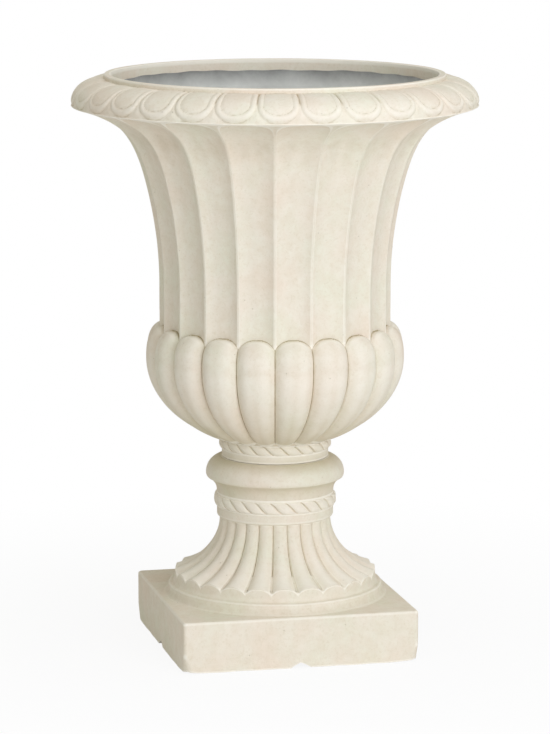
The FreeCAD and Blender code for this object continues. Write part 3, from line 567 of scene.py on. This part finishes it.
def lobe_fall(share, depth):
    """How far a full round lobe lies under its crest, with a crease where two lobes meet."""
    edge = abs(2 * share - 1)
    return depth * edge ** 2.7 + CREASE_DEPTH * max(0.0, 1 - (1 - edge) * 14)


def flute_fall(off_middle, half, depth):
    """Depth of a hollow flute under its arrises, this far off its middle line."""
    return depth * max(0.0, 1 - abs(off_middle / half) ** 2.5)


def dome_radius(share, height):
    """Radius of a lobe's domed end at a height, or 0 above its top."""
    def spot(turn):
        across, up = math.cos(turn) ** (2 / FULLNESS), math.sin(turn) ** (2 / FULLNESS)
        crest = BELLY_RADIUS - DOME_SET * (1 - across)
        normal = Vector((across ** (FULLNESS - 1) * DOME_HEIGHT,
                         up ** (FULLNESS - 1) * DOME_SET)).normalized()
        fall = lobe_fall(share, LOBE_DEPTHS[0])
        return crest - normal.x * fall, BELLY_LEVEL + DOME_HEIGHT * up - normal.y * fall
    low, high = 0.0, math.pi / 2
    if spot(high)[1] < height:
        return 0.0
    for _ in range(24):
        middle = (low + high) / 2
        if spot(middle)[1] < height:
            low = middle
        else:
            high = middle
    return spot(low)[0]


def softer_of(one, other, softness):
    """The larger of two radii, with a small fillet where they cross."""
    overlap = max(softness - abs(one - other), 0.0) / softness
    return max(one, other) + overlap ** 2 * softness / 4


def lobe_section(share):
    """Section of the lobed bowl up past the domes, into the foot of the fluted wall."""
    foot_turn = math.acos(LOBE_FOOT / BELLY_RADIUS)
    shallowing = (LOBE_DEPTHS[0] - LOBE_DEPTHS[1]) / (BELLY_RADIUS - LOBE_FOOT)
    outline = []
    rows = 46
    for step in range(rows + 1):
        turn = foot_turn * (1 - step / rows)
        crest = BELLY_RADIUS * math.cos(turn)
        normal = Vector((BELLY_DROP * math.cos(turn),
                         -BELLY_RADIUS * math.sin(turn))).normalized()
        fall = lobe_fall(share, LOBE_DEPTHS[0] - shallowing * (BELLY_RADIUS - crest))
        outline.append((crest - normal.x * fall,
                        BELLY_LEVEL - BELLY_DROP * math.sin(turn) - normal.y * fall))
    half = math.radians(PITCH / 2) * BARREL_RADIUS
    flute = BARREL_RADIUS - 0.25 - flute_fall(abs(share - 0.5) * 2 * half,
                                              half - ARRIS_WIDTH / 2, FLUTE_DEPTH)
    # rows closer together over the ends of the domes
    levels = [BELLY_LEVEL + 1.8 * step for step in range(1, 13)]
    levels += [390.5 + 0.75 * step for step in range(27)]
    levels += [412, 415, SKIRT_TOP]
    outline += [(softer_of(dome_radius(share, level), flute, DOME_FILLET), level)
                for level in levels]
    outline += [(BARREL_INSIDE, SKIRT_TOP), (BARREL_INSIDE, 412)]
    outline += [(INNER_BELLY * math.cos(math.radians(turn)),
                 BELLY_LEVEL - INNER_BELLY_DROP * math.sin(math.radians(turn)))
                for turn in (0, 15, 30, 45, 58)]
    outline.append((62, 267))
    return [(radius, FIRST_ARRIS + share * PITCH, height) for radius, height in outline]


ring("bowl_lobes", LOBES, lobe_section, bunched(40, 0.45), reach=6)


# --- fluted wall --------------------------------------------------------------------------
# Twenty hollow flutes between narrow arrises, up an upright barrel and out into a bell. Each
# ends under the rim in a rounded head, with a plain margin left between it and the edge.
BELL_START, BELL_HEIGHT, BELL_SPREAD = 458.2, 225.0, 50.6
RIM_RADIUS = 253.2
LIP_SWEEP = 253.5 - BARREL_RADIUS - BELL_SPREAD
HEAD_START, HEAD_LENGTH = 201.5, 46.0
WALL_TOP_RADIUS = 249.0
WALL_FOOT = 394.0
ARRIS_SHARE = 0.0625


def bell_point(rise):
    """Radius and level of the bell, and its outward normal, at a share of its height."""
    radius = BARREL_RADIUS + BELL_SPREAD * rise ** 2 + LIP_SWEEP * rise ** 12
    slope = (2 * BELL_SPREAD * rise + 12 * LIP_SWEEP * rise ** 11) / BELL_HEIGHT
    return radius, BELL_START + BELL_HEIGHT * rise, Vector((1, -slope)).normalized()


def bell_rows(spacing_foot, spacing_head):
    """Rises up the bell at even steps along its face, closer together over the flute heads."""
    rises, travelled, rise = [], 0.0, 0.0
    last = bell_point(0.0)
    while last[0] < WALL_TOP_RADIUS:
        rise += 0.0004
        here = bell_point(rise)
        travelled += math.hypot(here[0] - last[0], here[1] - last[1])
        last = here
        if travelled >= (spacing_head if here[0] > HEAD_START - 8 else spacing_foot):
            rises.append(rise)
            travelled = 0.0
    return rises + [rise]


BELL_ROWS = bell_rows(spacing_foot=3.2, spacing_head=1.6)


def flute_columns(share, half, half_arris):
    """Angle off the flute's middle line, as a share of the pitch, that follows its edges."""
    edge = ARRIS_SHARE
    if share < edge:
        return -half - half_arris * (1 - share / edge)
    if share > 1 - edge:
        return half + half_arris * (share - 1 + edge) / edge
    inside = (share - edge) / (1 - 2 * edge) * 2 - 1
    return half * (inside + 0.12 * math.sin(math.pi * inside))


def flute_section(share):
    """Section of the fluted wall, from behind the domes to the edge of the rim."""
    rows = [(BARREL_RADIUS, WALL_FOOT + (BELL_START - WALL_FOOT) * step / 20, Vector((1, 0)))
            for step in range(20)]
    rows += [bell_point(rise) for rise in [0.0] + BELL_ROWS]
    outline = []
    for radius, level, normal in rows:
        into_head = min(max((radius - HEAD_START) / HEAD_LENGTH, 0.0), 1.0)
        opening = (1 - into_head ** FULLNESS) ** (1 / FULLNESS)
        pitch_half = math.radians(PITCH / 2) * radius
        channel = (pitch_half - ARRIS_WIDTH / 2) * max(opening, 0.15)
        across = flute_columns(share, channel, pitch_half - channel)
        depth = FLUTE_DEPTH * min(opening * 1.9, 1.0) * (opening > 0)
        fall = flute_fall(across, channel, depth) if abs(across) < channel else 0.0
        outline.append((radius - normal.x * fall, FIRST_ARRIS + PITCH / 2
                        + math.degrees(across / radius), level - normal.y * fall))
    edge_turn = outline[-1][1]
    back = [(240, 686), (215, 682), (190, 665), (165, 635), (145, 590), (137, 540),
            (BARREL_INSIDE, 500), (BARREL_INSIDE, 460), (BARREL_INSIDE, WALL_FOOT)]
    middle = FIRST_ARRIS + PITCH * share
    return outline + [(WALL_TOP_RADIUS, edge_turn, 684.5)] + [
        (radius, middle, height) for radius, height in back]


ring("fluted_wall", LOBES, flute_section, [step / 32 for step in range(33)], reach=6)


# --- rim with its eggs --------------------------------------------------------------------
# A quarter-round rim carved with thirty eggs, each in a raised U-shaped frame that is open
# under the lip. The frames touch at the top, and plain spandrels lie between their feet.
EGGS = 30
EGG_RADIUS = 241
RIM_EDGE, OVOLO_FOOT = 683.2, 688.2
OVOLO_HEIGHT, LIP_RADIUS, LIP_FOOT, LIP_TOP = 28.0, 212.0, 716.2, 721.9
MOUTH_RADIUS = 203.5
CARVED = 1.8
EGG_LEVEL = 25.0
EGG_HALF, EGG_DROP = 17.5, 13.7
FRAME_HALF, FRAME_DROP = 24.2, 23.7
SEAM, EGG_RISE, FRAME_RISE = 0.7, 1.6, 1.5
SPANDREL_SEAM, SPANDREL_RISE, SLIT_DEPTH = 0.2, 0.9, 1.1
ROWS_UP = 60.5


def carving(across, up):
    """Height of the carving over the plain rim, at a place across and up its face."""
    below = min(up - EGG_LEVEL, 0.0)
    egg = math.hypot(across / EGG_HALF, below / EGG_DROP)
    frame_edge = math.hypot(across / FRAME_HALF, below / FRAME_DROP)
    if egg < 1:
        relief = SEAM + EGG_RISE * (1 - egg ** 3) ** 0.5
    elif frame_edge < 1:
        inner, outer = (egg - 1) * EGG_HALF, (1 - frame_edge) * FRAME_HALF
        share = inner / (inner + outer)
        relief = SEAM * (1 - share) + FRAME_RISE * math.sin(math.pi * share) ** 0.6
    else:
        slit = min(max((up - EGG_LEVEL) / 8, 0.0), 1.0)
        swell = min((frame_edge - 1) * FRAME_HALF / 6, 1.0)
        relief = SPANDREL_RISE * swell - SPANDREL_SEAM - SLIT_DEPTH * slit
    foot = min(max(up / 1.5, 0.0), 1.0)
    top = min(max((ROWS_UP - up) / 2.5, 0.0), 1.0)
    return (relief - CARVED) * foot * (0.4 + 0.6 * top) - 0.3 * (1 - foot)


def ovolo_rows(spacing):
    """Places up the rim's face: distance up, radius, level and outward normal."""
    rows = [(up, RIM_RADIUS, RIM_EDGE + up, Vector((1, 0))) for up in (0.0, 1.0, 2.0, 3.0, 4.0)]
    width = RIM_RADIUS - LIP_RADIUS
    travelled, last, up = spacing, (RIM_RADIUS, OVOLO_FOOT), 5.0
    for step in range(1801):
        turn = math.radians(step / 20)
        here = (LIP_RADIUS + width * math.cos(turn), OVOLO_FOOT + OVOLO_HEIGHT * math.sin(turn))
        length = math.hypot(here[0] - last[0], here[1] - last[1])
        travelled, up, last = travelled + length, up + length, here
        if travelled >= spacing or step == 1800:
            normal = Vector((OVOLO_HEIGHT * math.cos(turn), width * math.sin(turn))).normalized()
            rows.append((up, *here, normal))
            travelled = 0.0
    return rows


OVOLO_ROWS = ovolo_rows(spacing=1.25)


def rim_section(share):
    """Section of the rim: under its edge, up the carved face, over the lip and inside."""
    degrees = share * 360 / EGGS
    across = (share - 0.5) * math.radians(360 / EGGS) * EGG_RADIUS
    under = bell_point(BELL_ROWS[-1])
    outline = [(WALL_TOP_RADIUS - 0.4, under[1] - 0.05), (251.2, 682.5), (252.6, 682.9)]
    for up, radius, level, normal in OVOLO_ROWS:
        relief = carving(across, up)
        outline.append((radius + normal.x * relief, level + normal.y * relief))
    # up the lip, over its rounded top, down inside the mouth and back behind the wall
    outline += [(LIP_RADIUS, LIP_FOOT + 0.2), (LIP_RADIUS, LIP_FOOT + 1.2), (LIP_RADIUS, 719.2)]
    outline += quarter((LIP_RADIUS, 720.3), (LIP_RADIUS - 1.6, LIP_TOP), True, 4)
    outline += [(209.4, LIP_TOP), (207.8, LIP_TOP), (206.2, LIP_TOP), (204.6, LIP_TOP - 0.1)]
    outline += [(203.8, LIP_TOP - 0.6), (MOUTH_RADIUS, LIP_TOP - 1.4)]
    outline += [(MOUTH_RADIUS, LIP_TOP - 1.4 - 5 * step) for step in range(1, 7)]
    outline += [(206, 689), (230, 687), (246, 684)]
    return [(radius, degrees, height) for radius, height in outline]


ring("rim", EGGS, rim_section, bunched(42, 0.5), wobble=0.4, reach=4)


# --- floor of the bowl --------------------------------------------------------------------
# The bottom of the upper casting, with its spigot and its two holes, as it shows through
# the drain hole when the plug is out. Its faces are the construction's own.
WELD = 0.00001


def welded_copy(node):
    """An editable copy of a node's mesh from the frame, with its seams closed."""
    build = bmesh.new()
    build.from_mesh(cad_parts[node].data)
    bmesh.ops.remove_doubles(build, verts=build.verts, dist=WELD)
    return build


def finished_mesh(build, name, finish):
    """The mesh of an edited copy, in one material."""
    mesh = bpy.data.meshes.new(name)
    build.to_mesh(mesh)
    build.free()
    mesh.materials.clear()
    mesh.materials.append(finish)
    return mesh


def show_faces(node, name, keep):
    """Show those faces of a node of the frame whose middle passes a test, as cast stone."""
    build = welded_copy(node)
    bmesh.ops.delete(build, geom=[face for face in build.faces
                                  if not keep(face.calc_center_median())], context="FACES")
    show(name, finished_mesh(build, name, STONE), "urn")


def on_bowl_floor(spot):
    """Whether a place lies on the floor of the bowl or on the spigot under it."""
    return math.hypot(spot.x, spot.y) < 0.062 and spot.z < 0.262


show_faces("bowl", "bowl_floor", on_bowl_floor)


# --- hollow of the foot ---------------------------------------------------------------------
# The inside of the lower casting: the shaft round the bolt, the hollow under the flaring foot
# and the slab's own hollow. Its faces are the construction's own, picked by where they lie.
# Known fault: 85 to 105 mm up, the construction's grooves between the reeds pass in_flare too.
WALL_UNDER_REEDS = 9.6
HOLLOW_REACH = 118.5


def in_foot_hollow(spot):
    """Whether a place lies inside the shaft, the flare or the slab of the lower casting."""
    out = math.hypot(spot.x, spot.y)
    flare = math.asin(min(max((NECK_TOP - spot.z * 1000) / FLARE_DROP, 0.0), 1.0))
    crest = NECK_RADIUS + FLARE_REACH * (1 - math.cos(flare))
    in_shaft = out < 0.060
    in_slab = spot.z < 0.050 and max(abs(spot.x), abs(spot.y)) < 0.12
    on_roof = spot.z < 0.0506 and out < 0.122
    in_step = 0.0506 < spot.z < 0.0640 and out < HOLLOW_REACH * MM
    in_flare = 0.064 < spot.z < 0.160 and out * 1000 < min(HOLLOW_REACH,
                                                           crest - WALL_UNDER_REEDS)
    return in_shaft or in_slab or on_roof or in_step or in_flare


show_faces("pedestal", "foot_hollow", in_foot_hollow)


# --- waterproof coat -----------------------------------------------------------------------
# Grey bitumen paint brushed over the inside of the bowl, up to an uneven border a finger's
# width under the lip. It dries satin and mottled, with paler bloom over darker paint.
def bitumen_coat():
    """Brushed grey coat: cloudy, with painted shade that darkens it along its border under the
    lip and fades lower down.
    """
    material, tree = blank_material("bitumen paint brushed grey")
    place = add_node(tree, "ShaderNodeTexCoord").outputs["Object"]
    cloud = add_node(tree, "ShaderNodeTexNoise",
                     {"Vector": place, "Scale": 1 / 0.03, "Detail": 5, "Roughness": 0.65})
    high = add_node(tree, "ShaderNodeSeparateXYZ", {0: place})
    # painted shade under the lip: dark at the border, paler lower down
    out_of_lip_shade = ranged(tree, high.outputs["Z"], 0.7085, 0.688, last=0.75)
    cloudy = ranged(tree, cloud.outputs["Fac"], 0.3, 0.7, last=0.25)
    tint = blended(tree, reckoned(tree, "ADD", out_of_lip_shade, cloudy), linear("#70706c"),
                   linear("#d2d3cd"))
    strokes = add_node(tree, "ShaderNodeTexNoise", {
        "Vector": place, "Scale": 1 / 0.004, "Detail": 3})
    bump = add_node(tree, "ShaderNodeBump", {
        "Height": strokes.outputs["Fac"], "Distance": 0.0008, "Strength": 0.6})
    paint = add_node(tree, "ShaderNodeBsdfPrincipled", {
        "Base Color": tint, "Roughness": 0.6, "Normal": bump.outputs["Normal"]})
    add_node(tree, "ShaderNodeOutputMaterial", {"Surface": paint.outputs["BSDF"]})
    return material


coat_build = welded_copy("bowl_coating")
border_level = max(vert.co.z for vert in coat_build.verts)


def at_border(vert):
    """Whether a point of the coat lies on its upper border."""
    return vert.co.z > border_level - 0.0001


border = [edge for edge in coat_build.edges if all(at_border(vert) for vert in edge.verts)]
bmesh.ops.subdivide_edges(coat_build, edges=border, cuts=3)
bmesh.ops.triangulate(coat_build, faces=[face for face in coat_build.faces
                                         if len(face.verts) > 4])
for vert in coat_build.verts:
    if at_border(vert):
        turn = math.atan2(vert.co.y, vert.co.x)
        vert.co.z -= MM * (1.5 + 0.6 * math.sin(5 * turn + 1) + 0.35 * math.sin(13 * turn)
                           + 0.35 * math.sin(31 * turn + 2))
coat_mesh = finished_mesh(coat_build, "bowl_coat", bitumen_coat())
coat_mesh.shade_smooth()
coat_mesh.set_sharp_from_angle(angle=math.radians(35))
coat = show("bowl_coat", coat_mesh, "urn")
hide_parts("bowl_coating")


# --- bolt, washers, gasket and plug --------------------------------------------------------
# Bought-in parts: a zinc-plated steel bolt with its nut and plate washers, a sand-coloured
# gasket that is hard to see in the joint, and black rubber for the bolt's seal and the plug.
def zinc_plate():
    """Bright zinc over steel: grey with the faint spangle of the plating."""
    material, tree = blank_material("zinc-plated steel")
    place = add_node(tree, "ShaderNodeTexCoord").outputs["Object"]
    spangle = add_node(tree, "ShaderNodeTexVoronoi",
                       {"Vector": place, "Scale": 1 / 0.003}).outputs["Distance"]
    steel = add_node(tree, "ShaderNodeBsdfPrincipled", {
        "Base Color": blended(tree, spangle, linear("#b9bcc0"), linear("#9fa3a6")),
        "Metallic": 1.0, "Roughness": ranged(tree, spangle, 0.0, 1.0, 0.3, 0.45)})
    add_node(tree, "ShaderNodeOutputMaterial", {"Surface": steel.outputs["BSDF"]})
    return material


def moulded_rubber(name, dark, pale):
    """Matt rubber with a fine bloom, which takes the shine off it."""
    material, tree = blank_material(name)
    place = add_node(tree, "ShaderNodeTexCoord").outputs["Object"]
    bloom = add_node(tree, "ShaderNodeTexNoise",
                     {"Vector": place, "Scale": 1 / 0.002, "Detail": 3}).outputs["Fac"]
    bump = add_node(tree, "ShaderNodeBump", {
        "Height": bloom, "Distance": 0.0001, "Strength": 0.4})
    rubber = add_node(tree, "ShaderNodeBsdfPrincipled", {
        "Base Color": blended(tree, bloom, linear(dark), linear(pale)), "Roughness": 0.7,
        "Normal": bump.outputs["Normal"]})
    add_node(tree, "ShaderNodeOutputMaterial", {"Surface": rubber.outputs["BSDF"]})
    return material


ZINC = zinc_plate()
BLACK_RUBBER = moulded_rubber("black EPDM rubber", "#26272a", "#36373a")
SAND_RUBBER = moulded_rubber("sand-coloured silicone rubber", "#8d8266", "#a2977b")
for node, finish in (("centre_bolt", ZINC), ("bolt_plate", ZINC), ("lower_plate", ZINC),
                     ("lock_nut", ZINC), ("neck_gasket", SAND_RUBBER),
                     ("bolt_seal", BLACK_RUBBER), ("drain_plug", BLACK_RUBBER)):
    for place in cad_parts[node].material_slots:
        place.material = finish


# --- studio -----------------------------------------------------------------------------------
# A plain white floor and surround with soft daylight lamps, the larger one to the right of
# the camera, and the camera of the photograph.
CAMERA_TURN, CAMERA_TILT = math.radians(13), 0.171
CAMERA_DISTANCE, CAMERA_HEIGHT = 4.4549, 1.12127
LENS = 176.45
LAMP_COLOUR = (0.97, 1.0, 1.12)
LAMPS = (("front lamp", 30, 12, 3.6, 2.0, 48), ("low lamp", -5, 4, 3.6, 2.0, 15),
         ("top lamp", 30, 68, 3.0, 1.8, 20))


def seen_directly(tree, rays):
    """1 for what the camera sees directly or in a gloss, 0 for light on the urn."""
    return reckoned(tree, "MAXIMUM", rays["Is Camera Ray"], rays["Is Glossy Ray"])


def white_ground():
    """White floor that stays white to the camera and keeps the urn's soft shadow."""
    material, tree = blank_material("white painted floor")
    seen = seen_directly(tree, add_node(tree, "ShaderNodeLightPath").outputs)
    spot = add_node(tree, "ShaderNodeTexCoord").outputs["Object"]
    away = add_node(tree, "ShaderNodeVectorMath", {0: spot}, operation="LENGTH")
    clear = ranged(tree, away.outputs["Value"], 0.2, 0.9, first=0.9)
    paint = add_node(tree, "ShaderNodeBsdfDiffuse", {"Color": linear("#efefef")})
    glow = add_node(tree, "ShaderNodeEmission", {"Color": (1, 1, 1, 1), "Strength": 1.0})
    mix = add_node(tree, "ShaderNodeMixShader", {
        0: reckoned(tree, "MULTIPLY", seen, clear), 1: paint.outputs[0], 2: glow.outputs[0]})
    add_node(tree, "ShaderNodeOutputMaterial", {"Surface": mix.outputs[0]})
    return material


bpy.ops.mesh.primitive_circle_add(vertices=96, radius=9.0, fill_type="NGON")
floor = bpy.context.object
floor.name = "floor"
floor.data.materials.append(white_ground())

world = bpy.data.worlds.new("studio surround")
bpy.context.scene.world = world
world.use_nodes = True
sky = world.node_tree
sky.nodes.clear()
rays = add_node(sky, "ShaderNodeLightPath").outputs
seen = reckoned(sky, "MAXIMUM", seen_directly(sky, rays), rays["Is Transmission Ray"])
fill = add_node(sky, "ShaderNodeBackground", {
    "Color": (0.995, 0.982, 0.908, 1), "Strength": 0.518})
white = add_node(sky, "ShaderNodeBackground", {"Color": (1, 1, 1, 1), "Strength": 1.0})
both = add_node(sky, "ShaderNodeMixShader", {
    0: seen, 1: fill.outputs[0], 2: white.outputs[0]})
add_node(sky, "ShaderNodeOutputWorld", {"Surface": both.outputs[0]})

for name, side, lift, distance, across, watts in LAMPS:
    lamp = bpy.data.lights.new(name, "AREA")
    lamp.size = across
    lamp.color = LAMP_COLOUR
    lamp.energy = watts
    holder = bpy.data.objects.new(name, lamp)
    bpy.context.scene.collection.objects.link(holder)
    turn, up = math.radians(side) - CAMERA_TURN, math.radians(lift)
    away = Vector((math.sin(turn) * math.cos(up), -math.cos(turn) * math.cos(up), math.sin(up)))
    holder.location = Vector((0, 0, 0.4)) + away * distance
    holder.rotation_euler = away.to_track_quat("Z", "Y").to_euler()

camera = bpy.data.objects.new("camera", bpy.data.cameras.new("camera"))
bpy.context.scene.collection.objects.link(camera)
camera.location = (-CAMERA_DISTANCE * math.sin(CAMERA_TURN),
                   -CAMERA_DISTANCE * math.cos(CAMERA_TURN), CAMERA_HEIGHT)
camera.rotation_euler = (math.pi / 2 - CAMERA_TILT, 0, -CAMERA_TURN)
camera.data.lens = LENS
bpy.context.scene.camera = camera
bpy.context.scene.view_settings.view_transform = "Standard"
